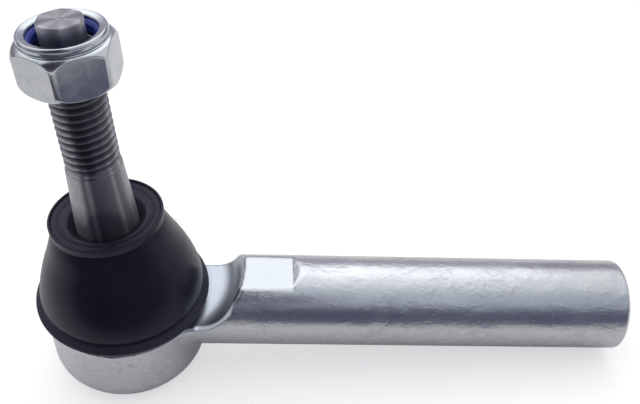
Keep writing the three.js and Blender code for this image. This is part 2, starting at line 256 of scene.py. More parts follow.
# ------------------------------------------------------------------ an implicit solid meshed by surface nets
def net(f, lo, hi, h, polish=4):
    """Meshes f(x, y, z) < 0 with one vertex per boundary cell, moved onto the surface."""
    ax = [np.arange(lo[k], hi[k] + h, h) for k in range(3)]
    shape = tuple(len(a) for a in ax)
    value = np.empty(shape, np.float32)
    Y, Z = np.meshgrid(ax[1], ax[2], indexing="ij")
    chunk = 24
    for i in range(0, shape[0], chunk):
        xs = ax[0][i:i + chunk]
        value[i:i + chunk] = f(xs[:, None, None] + 0 * Y, Y + 0 * xs[:, None, None], Z + 0 * xs[:, None, None])
    inside = value < 0
    cells = tuple(s - 1 for s in shape)
    total = np.zeros(cells, np.uint8)
    for dx in (0, 1):
        for dy in (0, 1):
            for dz in (0, 1):
                total += inside[dx:dx + cells[0], dy:dy + cells[1], dz:dz + cells[2]]
    active = (total > 0) & (total < 8)
    ids = np.full(cells, -1, np.int64)
    ids[active] = np.arange(int(active.sum()))
    where = np.argwhere(active)
    acc = np.zeros((len(where), 3))
    cnt = np.zeros(len(where))
    i, j, k = where.T
    for axis in range(3):
        others = [a for a in range(3) if a != axis]
        for p in (0, 1):
            for q in (0, 1):
                off = np.zeros(3, int)
                off[others[0]], off[others[1]] = p, q
                a = value[i + off[0], j + off[1], k + off[2]]
                end = off.copy()
                end[axis] = 1
                b = value[i + end[0], j + end[1], k + end[2]]
                cross = (a < 0) != (b < 0)
                t = np.where(cross, a / np.where(cross, a - b, 1), 0)
                pos = np.tile(off.astype(float), (len(where), 1))
                pos[:, axis] += t
                acc += pos * cross[:, None]
                cnt += cross
    v = (where + acc / cnt[:, None]) * h + np.array([a[0] for a in ax])
    quads = []
    for axis in range(3):
        others = [a for a in range(3) if a != axis]
        sl_a = [slice(1, -1)] * 3
        sl_b = [slice(1, -1)] * 3
        sl_a[axis], sl_b[axis] = slice(0, -1), slice(1, None)
        a, b = inside[tuple(sl_a)], inside[tuple(sl_b)]
        base = np.argwhere(a != b)
        if not len(base):
            continue
        flip = a[tuple(base.T)]
        node = base.copy()
        for o_ in others:
            node[:, o_] += 1
        corner = []
        for p, q in ((1, 1), (0, 1), (0, 0), (1, 0)):
            c = node.copy()
            c[:, others[0]] -= p
            c[:, others[1]] -= q
            corner.append(ids[tuple(c.T)])
        quad = np.stack(corner, 1)
        if axis == 1:
            flip = ~flip
        quad[~flip] = quad[~flip][:, ::-1]
        quads.append(quad)
    quads = np.concatenate(quads)
    e = 1e-3
    for _ in range(polish):
        x, y, z = v.T
        d = f(x, y, z)
        g = np.stack([f(x + e, y, z) - f(x - e, y, z), f(x, y + e, z) - f(x, y - e, z), f(x, y, z + e) - f(x, y, z - e)], 1) / (2 * e)
        step = (d / np.maximum((g * g).sum(1), 0.25))[:, None] * g
        length = np.linalg.norm(step, axis=1, keepdims=True)
        v = v - step * np.minimum(1, 0.5 * h / np.maximum(length, 1e-9))
    return v, [quads]


def smax(a, b, k):
    h = np.maximum(k - np.abs(a - b), 0) / k
    return np.maximum(a, b) + h * h * k * 0.25


def smin(a, b, k):
    return -smax(-a, -b, k)


# ------------------------------------------------------------------ materials
def material(name):
    m = bpy.data.materials.new(name)
    m.use_nodes = True
    nt = m.node_tree
    for n in list(nt.nodes):
        nt.nodes.remove(n)
    out = nt.nodes.new("ShaderNodeOutputMaterial")
    p = nt.nodes.new("ShaderNodeBsdfPrincipled")
    nt.links.new(p.outputs[0], out.inputs[0])
    return m, nt, p


class Nodes:
    """A few short ways to add nodes."""

    def __init__(self, nt):
        self.nt = nt
        self.coord = nt.nodes.new("ShaderNodeTexCoord").outputs["Object"]

    def put(self, socket, value):
        if hasattr(value, "is_linked"):
            self.nt.links.new(value, socket)
        elif value is not None:
            socket.default_value = value

    def mapping(self, scale=(1, 1, 1), rotation=(0, 0, 0), location=(0, 0, 0)):
        n = self.nt.nodes.new("ShaderNodeMapping")
        self.nt.links.new(self.coord, n.inputs["Vector"])
        n.inputs["Scale"].default_value = scale
        n.inputs["Rotation"].default_value = rotation
        n.inputs["Location"].default_value = location
        return n.outputs[0]

    def noise(self, scale, detail=4, rough=0.55, distortion=0.0, vector=None):
        n = self.nt.nodes.new("ShaderNodeTexNoise")
        self.put(n.inputs["Vector"], vector if vector is not None else self.coord)
        n.inputs["Scale"].default_value = scale
        n.inputs["Detail"].default_value = detail
        n.inputs["Roughness"].default_value = rough
        n.inputs["Distortion"].default_value = distortion
        return n.outputs["Fac"]

    def voronoi(self, scale, feature="F1", vector=None, randomness=1.0, out="Distance"):
        n = self.nt.nodes.new("ShaderNodeTexVoronoi")
        n.feature = feature
        self.put(n.inputs["Vector"], vector if vector is not None else self.coord)
        n.inputs["Scale"].default_value = scale
        n.inputs["Randomness"].default_value = randomness
        return n.outputs[out]

    def ramp(self, fac, stops, ease="LINEAR"):
        n = self.nt.nodes.new("ShaderNodeValToRGB")
        n.color_ramp.interpolation = ease
        els = n.color_ramp.elements
        while len(els) < len(stops):
            els.new(0.5)
        for el, (pos, col) in zip(els, stops):
            el.position = pos
            el.color = (col, col, col, 1) if isinstance(col, (int, float)) else (*col, 1)
        self.put(n.inputs[0], fac)
        return n.outputs[0]

    def math(self, op, a, b=None, c=None, clamp=False):
        n = self.nt.nodes.new("ShaderNodeMath")
        n.operation = op
        n.use_clamp = clamp
        for socket, value in zip(n.inputs, (a, b, c)):
            if value is not None:
                self.put(socket, value)
        return n.outputs[0]

    def mix(self, fac, a, b, mode="MIX"):
        n = self.nt.nodes.new("ShaderNodeMix")
        n.data_type = "RGBA"
        n.blend_type = mode
        self.put(n.inputs[0], fac)
        for socket, value in ((n.inputs[6], a), (n.inputs[7], b)):
            if isinstance(value, tuple):
                value = (*value, 1)
            self.put(socket, value)
        return n.outputs[2]

    def attribute(self, name):
        n = self.nt.nodes.new("ShaderNodeAttribute")
        n.attribute_name = name
        return n.outputs["Fac"]

    def bump(self, height, strength, distance, normal=None):
        n = self.nt.nodes.new("ShaderNodeBump")
        n.inputs["Strength"].default_value = strength
        n.inputs["Distance"].default_value = distance
        self.put(n.inputs["Height"], height)
        if normal is not None:
            self.nt.links.new(normal, n.inputs["Normal"])
        return n.outputs[0]


def zinc_forging():
    m, nt, p = material("zinc_forging")
    k = Nodes(nt)
    streak = k.mapping(scale=(0.55, 1.0, 1.0))
    forged = k.math("SUBTRACT", 1.0, k.math("MAXIMUM", k.attribute("flat"), k.math("MULTIPLY", k.attribute("cut"), 0.8)), clamp=True)
    where = k.math("MULTIPLY", k.ramp(k.noise(95, 4, 0.6, 0.8, streak), [(0.38, 0.15), (0.60, 1.0)]), forged)
    scuff = k.noise(560, 3, 0.55, 1.1, streak)
    swirl = k.noise(1150, 3, 0.55, 1.4, streak)
    cloud = k.noise(60, 3, 0.5, 0.3)
    fine = k.noise(5200, 2, 0.5)
    stain = k.math("MULTIPLY", k.ramp(scuff, [(0.50, 0.0), (0.66, 1.0)]), where)
    fleck = k.math("MULTIPLY", k.ramp(swirl, [(0.50, 0.0), (0.64, 1.0)]), where)
    tone = k.mix(k.ramp(cloud, [(0.35, 0.0), (0.65, 1.0)]), (0.475, 0.485, 0.51), (0.52, 0.525, 0.545))
    tone = k.mix(k.math("MULTIPLY", stain, 0.55), tone, (0.36, 0.355, 0.41))
    tone = k.mix(k.math("MULTIPLY", fleck, 0.45), tone, (0.66, 0.665, 0.69))
    tone = k.mix(k.math("MULTIPLY", k.attribute("cut"), 0.8), tone, (0.40, 0.435, 0.485))
    tone = k.mix(k.math("MULTIPLY", k.attribute("flat"), 0.8), tone, (0.42, 0.445, 0.465))
    tone = k.mix(k.attribute("lip"), tone, (0.92, 0.93, 0.97))      # painted highlight along the lip: near-white, and mostly non-metallic on the next line so it stays bright
    nt.links.new(tone, p.inputs["Base Color"])
    nt.links.new(k.math("MULTIPLY_ADD", k.attribute("lip"), -0.75, 1.0), p.inputs["Metallic"])
    rough = k.math("MULTIPLY_ADD", where, 0.05, 0.25)
    rough = k.math("MULTIPLY_ADD", stain, 0.07, rough)
    nt.links.new(k.math("MULTIPLY_ADD", k.attribute("cut"), 0.13, rough), p.inputs["Roughness"])
    n = k.bump(k.math("MULTIPLY", scuff, where), 0.46, 0.00024)
    n = k.bump(k.math("MULTIPLY", swirl, where), 0.60, 0.00007, n)
    n = k.bump(fine, 0.12, 0.00001, n)
    nt.links.new(n, p.inputs["Normal"])
    return m


def zinc_pressing():
    m, nt, p = material("zinc_pressing")
    k = Nodes(nt)
    blotch = k.noise(260, 5, 0.6, 0.4)
    fine = k.noise(3000, 3, 0.6)
    tone = k.mix(k.ramp(blotch, [(0.38, 0.0), (0.62, 1.0)]), (0.50, 0.51, 0.53), (0.66, 0.68, 0.70))
    nt.links.new(tone, p.inputs["Base Color"])
    p.inputs["Metallic"].default_value = 1.0
    nt.links.new(k.math("MULTIPLY_ADD", blotch, 0.22, 0.22), p.inputs["Roughness"])
    nt.links.new(k.bump(fine, 0.3, 0.00004, k.bump(blotch, 0.2, 0.0002)), p.inputs["Normal"])
    return m


def zinc_nut():
    m, nt, p = material("zinc_nut")
    k = Nodes(nt)
    blotch = k.noise(420, 5, 0.6, 0.5)
    fine = k.noise(3500, 3, 0.6)
    marks = k.ramp(k.noise(900, 2, 0.5, 1.5, k.mapping(scale=(1, 1, 0.12))), [(0.56, 0.0), (0.66, 1.0)])
    tone = k.mix(k.ramp(blotch, [(0.35, 0.0), (0.65, 1.0)]), (0.42, 0.445, 0.48), (0.51, 0.52, 0.535))
    tone = k.mix(k.math("MULTIPLY", marks, 0.12), tone, (0.33, 0.34, 0.38))
    # painted shade: the nut's bore below the nylon is made nearly black
    tone = k.mix(k.attribute("inner"), tone, (0.06, 0.06, 0.08))
    nt.links.new(tone, p.inputs["Base Color"])
    p.inputs["Metallic"].default_value = 1.0
    rough = k.math("MULTIPLY_ADD", blotch, 0.10, 0.14)
    nt.links.new(k.math("MULTIPLY_ADD", marks, 0.02, rough), p.inputs["Roughness"])
    nt.links.new(k.bump(fine, 0.15, 0.00002, k.bump(blotch, 0.15, 0.00015)), p.inputs["Normal"])
    return m


def turned_steel():
    m, nt, p = material("turned_steel")
    k = Nodes(nt)
    along = k.attribute("axial")          # millimetres along the stud
    crest = k.attribute("crest")          # 1 on plain ground surface and thread crests, 0 in thread roots
    vec = nt.nodes.new("ShaderNodeCombineXYZ")
    nt.links.new(k.attribute("around"), vec.inputs[0])
    nt.links.new(along, vec.inputs[2])
    lines = k.noise(6.0, 3, 0.7, 0.0, vec.outputs[0])
    blotch = k.noise(500, 4, 0.6, 0.5)
    fine = k.noise(3200, 3, 0.6)
    tone = k.mix(k.ramp(blotch, [(0.36, 0.0), (0.64, 1.0)]), (0.37, 0.36, 0.385), (0.44, 0.43, 0.455))
    # painted reflections: the streak attribute darkens the steel between fixed lengthwise strips
    tone = k.mix(k.ramp(k.attribute("streak"), [(0.0, 0.0), (1.0, 1.0)]), (0.165, 0.16, 0.18), tone)
    # painted shade: darker in the thread roots and on the lower side of the tip
    tone = k.mix(k.ramp(crest, [(0.15, 0.0), (0.95, 1.0)]), (0.10, 0.10, 0.125), tone)
    nt.links.new(tone, p.inputs["Base Color"])
    p.inputs["Metallic"].default_value = 1.0
    p.inputs["Anisotropic"].default_value = 0.92
    p.inputs["Anisotropic Rotation"].default_value = 0.25
    tangent = nt.nodes.new("ShaderNodeAttribute")
    tangent.attribute_name = "girth"      # the direction round the stud, kept with the stud as it swings
    turn = nt.nodes.new("ShaderNodeVectorTransform")
    turn.vector_type, turn.convert_from, turn.convert_to = "VECTOR", "OBJECT", "WORLD"
    nt.links.new(tangent.outputs["Vector"], turn.inputs[0])
    nt.links.new(turn.outputs[0], p.inputs["Tangent"])
    rough = k.math("MULTIPLY_ADD", lines, 0.10, 0.30)
    rough = k.math("MULTIPLY_ADD", k.math("SUBTRACT", 1.0, crest), 0.12, rough)
    nt.links.new(rough, p.inputs["Roughness"])
    n = k.bump(lines, 0.22, 0.00001)
    n = k.bump(blotch, 0.10, 0.00006, n)
    n = k.bump(fine, 0.10, 0.00002, n)
    nt.links.new(n, p.inputs["Normal"])
    return m


def boot_rubber():
    m, nt, p = material("boot_rubber")
    k = Nodes(nt)
    cloud = k.noise(90, 4, 0.55, 0.4)
    dust = k.noise(700, 6, 0.7, 0.2)
    fine = k.noise(4200, 3, 0.6)
    tone = k.mix(k.ramp(cloud, [(0.3, 0.0), (0.7, 1.0)]), (0.0060, 0.0055, 0.0120), (0.0098, 0.0092, 0.0190))
    tone = k.mix(k.ramp(dust, [(0.55, 0.0), (0.80, 0.35)]), tone, (0.020, 0.020, 0.030))
    # a paler tone on the base band and the flange top, broken up by the dust noise
    paler = k.math("MULTIPLY", k.attribute("pale_zone"), k.ramp(dust, [(0.30, 0.35), (0.62, 1.0)]))
    tone = k.mix(paler, tone, (0.026, 0.024, 0.036))
    nt.links.new(tone, p.inputs["Base Color"])
    nt.links.new(k.math("MULTIPLY_ADD", paler, 0.12, k.math("MULTIPLY_ADD", cloud, 0.14, 0.24)), p.inputs["Roughness"])
    p.inputs["Specular IOR Level"].default_value = 0.24
    p.inputs["Specular Tint"].default_value = (0.72, 0.74, 1.0, 1)
    p.inputs["Sheen Weight"].default_value = 0.02
    p.inputs["Sheen Roughness"].default_value = 0.45
    p.inputs["Sheen Tint"].default_value = (0.55, 0.55, 0.70, 1)
    nt.links.new(k.bump(fine, 0.25, 0.00003, k.bump(dust, 0.12, 0.00006)), p.inputs["Normal"])
    return m


def blue_nylon():
    m, nt, p = material("blue_nylon")
    k = Nodes(nt)
    cloud = k.noise(800, 4, 0.6)
    tone = k.mix(k.ramp(cloud, [(0.35, 0.0), (0.65, 1.0)]), (0.020, 0.035, 0.26), (0.035, 0.060, 0.36))
    nt.links.new(tone, p.inputs["Base Color"])
    nt.links.new(k.math("MULTIPLY_ADD", cloud, 0.2, 0.25), p.inputs["Roughness"])
    p.inputs["Subsurface Weight"].default_value = 0.1
    p.inputs["Subsurface Radius"].default_value = (0.2, 0.3, 1.0)
    p.inputs["Subsurface Scale"].default_value = 0.001
    nt.links.new(k.bump(cloud, 0.2, 0.00005), p.inputs["Normal"])
    return m


def acetal():
    m, nt, p = material("acetal_bearing")
    k = Nodes(nt)
    grease = k.ramp(k.noise(220, 4, 0.6, 0.8), [(0.45, 0.0), (0.62, 1.0)])
    tone = k.mix(grease, (0.74, 0.71, 0.62), (0.55, 0.48, 0.30))
    nt.links.new(tone, p.inputs["Base Color"])
    nt.links.new(k.math("MULTIPLY_ADD", grease, -0.22, 0.42), p.inputs["Roughness"])
    nt.links.new(k.bump(k.noise(1500, 3), 0.2, 0.00004), p.inputs["Normal"])
    return m


def spring_steel():
    m, nt, p = material("spring_steel")
    k = Nodes(nt)
    blotch = k.noise(350, 5, 0.6, 0.6)
    tone = k.mix(k.ramp(blotch, [(0.38, 0.0), (0.62, 1.0)]), (0.16, 0.15, 0.15), (0.33, 0.33, 0.35))
    nt.links.new(tone, p.inputs["Base Color"])
    p.inputs["Metallic"].default_value = 1.0
    nt.links.new(k.math("MULTIPLY_ADD", blotch, 0.25, 0.22), p.inputs["Roughness"])
    nt.links.new(k.bump(k.noise(2500, 3), 0.25, 0.00003), p.inputs["Normal"])
    return m


ZINC, PRESSED, NUT = zinc_forging(), zinc_pressing(), zinc_nut()
STEEL, RUBBER, NYLON = turned_steel(), boot_rubber(), blue_nylon()
ACETAL, SPRING = acetal(), spring_steel()

# ------------------------------------------------------------------ housing
R_SOCKET, R_SHANK, SHANK_END = 19.3, 11.3, 125.8
SHOULDER_Z, WALL = 1.3, math.radians(78)
# the neck relief across the shank: (near side, far side)
FLOOR_R, FILLET_R, FLOOR_Z = (20.8, 24.6), (7.5, 4.5), (1.3, 0.6)


def relief_at(x, y, z):
    """The relief about the boot seat: negative where metal is removed. Across the shank its floor widens and falls."""
    rho = np.hypot(x, y)
    t = np.clip((y + R_SHANK) / (2 * R_SHANK), 0, 1)
    floor_r = FLOOR_R[0] + (FLOOR_R[1] - FLOOR_R[0]) * t
    radius = FILLET_R[0] + (FILLET_R[1] - FILLET_R[0]) * t
    floor_z = SHOULDER_Z + (FLOOR_Z[1] - FLOOR_Z[0]) * t * smoothstep(19.3, 22.5, rho)
    cz = floor_z + radius
    ang = np.arctan2(rho - floor_r, cz - z)
    arc = np.hypot(rho - floor_r, z - cz) - radius
    floor = floor_z - z
    wall = (rho - floor_r) * math.sin(WALL) - (z - cz) * math.cos(WALL) - radius
    out = np.where((ang > 0) & (ang < WALL) & (z < cz + 6), arc, np.where(ang >= WALL, wall, floor))
    return np.where((z > cz) & (rho < floor_r), -radius, out)


# the relief's near lip on the shank: its height at each x, found by halving
LIP_X = np.linspace(17.5, 28.9, 58)
_lo, _hi = np.full(LIP_X.shape, 0.0), np.full(LIP_X.shape, 11.0)
for _ in range(40):
    _mid = (_lo + _hi) / 2
    _cut = relief_at(LIP_X, -np.sqrt(R_SHANK ** 2 - _mid ** 2), _mid) < 0
    _lo, _hi = np.where(_cut, _lo, _mid), np.where(_cut, _mid, _hi)
LIP_Z = _lo
LIP_SLOPE = np.gradient(LIP_Z, LIP_X)


def lip_land(x, y, z):
    """A narrow land facing mostly up, trimmed along the lip: positive where metal is removed."""
    ze, slope = np.interp(x, LIP_X, LIP_Z), np.interp(x, LIP_X, LIP_SLOPE)
    ye = -np.sqrt(R_SHANK ** 2 - ze ** 2)
    depth = 0.50 * smoothstep(17.6, 19.0, x) * (1 - smoothstep(27.0, 28.1, x))
    f = (-0.33 * (y - ye) + 0.8 * (z - ze)) / np.sqrt(0.33 ** 2 + 0.8 ** 2 * (1 + slope ** 2)) + depth
    return np.where((x > 17.6) & (x < 28.8) & (y < -3), f, -9.0)


def housing_field(x, y, z):
    rho = np.hypot(x, y)
    across = np.hypot(y, z)
    # forged socket, with its crimped lower edge turned in
    socket = smax(rho - R_SOCKET, z - SHOULDER_Z, 0.7)
    under = (rho - 19.3) * 0.843 + (-14.0 - z) * 0.538
    socket = smax(socket, under, 1.2)
    socket = smax(socket, -17.6 - z, 0.9)
    # shank, melted into the socket by a small fillet
    shank = smax(smax(across - R_SHANK, x - SHANK_END, 0.25), (across - R_SHANK + x - SHANK_END + 0.75) * 0.7071, 0.25)
    shank = np.maximum(shank, 12.0 - x)
    body = smin(socket, shank, 2.2)
    # wrench flats, then the neck relief with its edges rounded over
    run = (x - 41.8) * 0.5
    top = smax(10.0 - z, run - (z - 10.0) * 0.866, 0.12)
    body = smax(body, -top, 0.45)
    low = smax(smax(10.0 + z, run - (-z - 10.0) * 0.866, 0.5), (29.2 - x) * 0.5 - (-z - 10.0) * 0.866, 0.5)
    body = smax(body, -low, 0.45)
    body = smax(body, -relief_at(x, y, z), 0.9 + 0.9 * smoothstep(7.0, 9.6, z))
    body = smax(body, lip_land(x, y, z), 0.14)
    seat = smax(smax(rho - 17.1, z - 6.3, 0.5), -4.0 - z, 0.5)
    body = np.minimum(body, seat)
    # a forging's small unevenness, and the parting mark under the boot
    body = body + 0.035 * np.sin(x * 0.31 + 1.3) * np.sin(y * 0.42 + 0.4) * np.sin(z * 0.37)
    nick = np.sqrt(((x + 0.5) * 0.55) ** 2 + ((y + 19.6) * 1.1) ** 2 + ((z - 1.3) * 0.9) ** 2) - 0.75
    body = smax(body, -nick, 0.6)
    return body


v, f = net(housing_field, (-20.5, -20.5, -18.6), (127.0, 20.5, 12.4), 0.30)
v[:, 0] = np.minimum(v[:, 0], SHANK_END)
in_cut = np.clip(1 - np.abs(relief_at(v[:, 0], v[:, 1], v[:, 2])) / 0.5, 0, 1) * (v[:, 0] > 12)
on_flat = np.clip(1 - np.abs(np.abs(v[:, 2]) - 10.0) / 0.25, 0, 1) * (v[:, 0] > 27) * (v[:, 0] < 42.5)
# lip: where the painted highlight goes, along the relief's near lip
on_lip = np.clip(1 - np.abs(lip_land(v[:, 0], v[:, 1], v[:, 2])) / 0.15, 0, 1)
housing = make("housing_body", v, f, ZINC, sharp=180, attributes={"cut": in_cut, "flat": on_flat, "lip": on_lip})

inside = fillet([
    (0, -19), (14.35, -19), (14.35, -17.55, 0.15), (14.1, -17.1, 0.1), (15.75, -17.1, 0.1), (15.75, -15.55, 0.1),
    (15.0, -15.55, 0.2), (15.0, 2.15, 0.8), (12.85, 5.0, 0.3), (12.0, 5.0, 0.15), (12.0, 5.55, 0.2), (12.9, 6.45), (12.9, 8), (0, 8)])
tool_v, tool_f = polar(inside, 160)
tool = make("tool_socket", tool_v, tool_f, None)
apply_boolean(housing, tool)

# female thread M14 x 1.5 with a chamfered mouth
BORE_START, BORE_MOUTH = SHANK_END - 54.0, SHANK_END


def tap(r, ang, z):
    """z runs along the shank. The thread's grooves are deepest on the major diameter."""
    p = np.mod((z - BORE_START) / 1.5 - ang / (2 * math.pi), 1.0)
    groove = np.clip((0.5 - np.abs(p - 0.5) - 0.06) / 0.37, 0, 1)
    groove = 1 - groove
    depth = 0.80 * groove * smoothstep(BORE_START + 5, BORE_START + 9, z)
    return np.maximum(np.full(len(ang), r), np.where(r > 6.0, 6.19 + depth, r))


bore = [(0, BORE_START - 3.8), (5.9, BORE_START - 0.3), (6.19, BORE_START)]
bore += [(6.19, s) for s in np.arange(BORE_START + 0.125, BORE_MOUTH - 1.2, 0.125)]
bore += [(6.19, BORE_MOUTH - 1.1), (7.35, BORE_MOUTH + 0.05), (7.35, BORE_MOUTH + 3), (0, BORE_MOUTH + 3)]
tool_v, tool_f = polar(bore, 88, tap)
tool_v = tool_v[:, [2, 0, 1]]
tool = make("tool_bore", tool_v, tool_f, None)
apply_boolean(housing, tool)
smooth(housing, 50)
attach(housing, "housing")
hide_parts("housing")


def turned_piece(name, points, n, mat, body, nodes, place=upright, sharp=38, closed=True):
    tv, tf = polar(points, n, closed=closed)
    o = make(name, tv, tf, mat, place, sharp)
    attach(o, body)
    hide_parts(*nodes)
    return o


# ------------------------------------------------------------------ inside the socket
turned_piece("end_cover_plate", fillet([
    (0, -18.0), (11.5, -18.0, 0.8), (12.6, -16.95, 0.6), (15.4, -16.95, 0.25), (15.62, -16.6, 0.2), (15.62, -15.75, 0.2),
    (12.2, -15.75, 0.7), (11.0, -16.55, 0.7), (3.2, -16.55, 0.3), (2.6, -16.75, 0.2), (0, -16.75)]),
    128, PRESSED, "housing", ["end_cover"], closed=False)

cup = 12.6


def arc(z0, z1, steps):
    return [(math.sqrt(cup * cup - z * z), z) for z in np.linspace(z0, z1, steps)]


turned_piece("lower_bearing_shell", fillet([
    (3.0, -14.4, 0.3), (13.6, -14.4, 0.8), (14.9, -13.0, 0.8), (14.9, -0.9, 0.2)]) + arc(-0.9, -12.2, 24)
    + fillet([(3.0, -12.2), (3.0, -12.7)]), 96, ACETAL, "housing", ["lower_bearing"])
turned_piece("upper_bearing_shell", fillet([(14.9, -0.8, 0.2), (14.9, 2.05, 0.6), (12.75, 4.85, 0.1)]) + arc(4.85, -0.8, 14),
             96, ACETAL, "housing", ["upper_bearing"])
turned_piece("preload_disc_spring", fillet([(5.0, -14.5, 0.2), (5.0, -15.15, 0.2), (12.7, -15.65, 0.2), (12.7, -14.95, 0.2)], closed=True),
             96, SPRING, "housing", ["disc_spring"])

# ------------------------------------------------------------------ ball stud
PITCH, CREST, DEPTH, START = 1.75, 6.0, 0.98, 42.6
THREAD_TOP = 70.95


def thread_depth(ang, z):
    """0 on the crest to 1 in the root of the rolled M12 thread, right-handed."""
    p = np.mod((z - START) / PITCH - ang / (2 * math.pi) - 0.375, 1.0)
    away = np.minimum(p, 1 - p) * PITCH          # mm from the crest's middle
    d = np.clip((away - 0.10) / 0.60, 0, 1)
    return d * d * (3 - 2 * d) * 0.35 + d * 0.65


def stud_radius(r, ang, z):
    out = np.full(len(ang), r, float)
    if 42.3 < z < THREAD_TOP + 0.2:
        grow = smoothstep(42.3, 44.2, z - 0.9 * (ang / (2 * math.pi) - 0.5))
        out = np.minimum(out, CREST - DEPTH * thread_depth(ang, z) * grow)
    if z > THREAD_TOP + 0.3:
        # six shallow pressed facets with broad round corners between them
        c1 = np.cos(np.mod(ang + 0.36, math.pi / 3) - math.pi / 6)
        facet = 1 - 0.06 * (c1 - 0.866) / 0.134 * min(1.0, r / 4.0)
        out = out * (facet + 0.006 * np.sin(2 * ang + 1.0))
    return out


ball = [(12.5 * math.cos(a), 12.5 * math.sin(a)) for a in np.radians(np.linspace(-73.7, 58.5, 44))]
stud_profile = [(0, -12.0), (3.3, -12.0)] + ball + fillet([
    (ball[-1][0], ball[-1][1]), (6.3, 11.6, 1.2), (6.3, 17.0, 1.5), (7.2, 19.2, 1.0), (7.2, 26.4, 0.4), (6.235, 42.0)])
stud_profile = densify(stud_profile, 0.9)
stud_profile += [(6.235, 42.05), (6.20, 42.14), (6.02, 42.32)]
stud_profile += [(6.0, z) for z in np.arange(42.40, THREAD_TOP - 1.1, 0.07)]
stud_profile += [(6.0 - 1.05 * t, THREAD_TOP - 1.1 + 1.05 * t) for t in np.linspace(0, 1, 12)]
stud_profile += [(4.95, THREAD_TOP + 0.05), (4.85, THREAD_TOP + 0.25), (4.8, THREAD_TOP + 0.45)]
stud_profile += [(4.8, z) for z in np.arange(THREAD_TOP + 0.7, 75.45, 0.3)]
stud_profile += fillet([(4.8, 75.5), (4.8, 76.66, 1.05), (3.2, 76.69)], 8)[1:]
stud_profile += [(2.4, 76.64), (1.6, 76.66), (0.8, 76.61), (0, 76.60)]
sv, sf = polar(stud_profile, 128, stud_radius)
sr = np.hypot(sv[:, 0], sv[:, 1])
in_thread = (sv[:, 2] > 42.3) & (sv[:, 2] < THREAD_TOP)
# crest: 1 on crests and plain surface, 0 in thread roots, 0.35 rising to 1 up the tip; the low values carry painted
# shade
crest = np.where(in_thread, np.clip((sr - (CREST - DEPTH)) / DEPTH, 0, 1), 1.0)
crest = np.where(sv[:, 2] > THREAD_TOP, 0.35 + 0.65 * smoothstep(73.8, 75.8, sv[:, 2]), crest)
# painted reflections: lengthwise strips of lighter and darker steel at fixed bearings round the stud, standing in for
# what the taper and thread reflect
bearing = np.degrees(np.arctan2(sv[:, 1], sv[:, 0]))


def strip(centre, half_width, soft):
    away = np.abs(np.mod(bearing - centre + 180, 360) - 180)
    return 1 - smoothstep(half_width - soft, half_width + soft, away)


below = 1 - smoothstep(43.5, 48.0, sv[:, 2])      # the sharper painted strips stop where the thread begins
streak = 0.80 * strip(-135, 30, 7) + 1.0 * strip(-93, 4.5, 3.5) * below + 0.55 * strip(-41, 4, 4) * (0.3 + 0.7 * below) + 0.62 * strip(2, 20, 6)
streak += 0.8 * strip(42, 8, 5) + 0.6 * strip(75, 12, 6) + 0.9 * strip(118, 9, 6) + 0.55 * strip(160, 15, 8)
on_tip = smoothstep(THREAD_TOP, THREAD_TOP + 0.6, sv[:, 2])
# painted highlights and shade on the tip: lighter mid-facet and on two opposite sides, darker between
tip_painted_shading = 0.68 + 0.26 * np.cos(np.radians(bearing * 6 + 60)) * np.clip(sr / 4.0, 0, 1) + 0.25 * np.sin(np.radians(bearing * 2 + 40))
in_ball = 1 - smoothstep(11.0, 18.0, sv[:, 2])
streak = np.clip(streak * (1 - on_tip) * (1 - in_ball) + tip_painted_shading * on_tip + 0.8 * in_ball, 0.0, 1)
girth = np.stack([-np.sin(np.radians(bearing)), np.cos(np.radians(bearing)), 0 * bearing], 1) @ LEAN.T
stud = make("ball_stud_forging", sv, sf, STEEL, stud_frame, 40,
            {"axial": sv[:, 2], "crest": crest, "streak": streak, "girth": girth, "around": np.arctan2(sv[:, 1], sv[:, 0]) * 0.15})
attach(stud, "stud")
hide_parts("ball_stud")

# ------------------------------------------------------------------ lock nut and insert
PHASE = math.radians(-91.8)


def nut_radius(r, ang, z):
    out = np.full(len(ang), r, float)
    if r > 8.95:
        turn = np.mod(ang - PHASE, math.pi / 3)
        out = smin(out, 9.5 / smax(np.cos(turn - math.pi / 6), np.maximum(np.cos(turn + math.pi / 6), np.cos(turn - math.pi / 2)), 0.085), 0.14)
    elif r < 5.5 and 63.3 < z < 71.0:
        p = np.mod((z - START) / PITCH - ang / (2 * math.pi) - 0.375, 1.0)
        away = np.minimum(p, 1 - p) * PITCH
        out = np.maximum(out, 6.12 - 0.90 * np.clip((away - 0.12) / 0.62, 0, 1))
    return out


dome = [(8.2 + 2.58 * math.cos(a), 70.3 + 2.58 * math.sin(a)) for a in np.radians(np.linspace(0, 76, 26))]
foot = [(8.2 + 2.58 * math.cos(a), 65.68 + 2.58 * math.sin(a)) for a in np.radians(np.linspace(-86, 0, 26))]
nut_out = fillet([(6.62, 63.1), (6.75, 63.1, 0.05), foot[0]]) + foot[1:]
nut_out += [(10.78, z) for z in np.linspace(65.9, 70.1, 16)]
nut_out += dome
rim = fillet([(8.76, 72.92, 0.12), (8.92, 73.35, 0.4), (8.98, 74.0, 0.5), (8.6, 74.66, 0.45), (7.15, 74.30, 0.4), (6.98, 74.0, 0.2), (7.0, 73.62, 0.1), (7.75, 73.62, 0.1), (7.75, 71.0, 0.1), (6.1, 71.0, 0.1)], 6)
nut_in = [(5.3, z) for z in np.arange(70.9, 63.95, -0.1)] + [(5.7, 63.8), (6.1, 63.5), (6.55, 63.2)]
nv, nf = polar(nut_out + rim + nut_in, 420, nut_radius, closed=True)
nr = np.hypot(nv[:, 0], nv[:, 1])
# inner marks the nut's bore below the nylon, painted dark as shade
nut = make("lock_nut_hex", nv, nf, NUT, stud_frame, 46, {"inner": (nr < 6.4) & (nv[:, 2] < 71.1) & (nv[:, 2] > 63.4)})
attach(nut, "nut")
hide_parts("lock_nut")

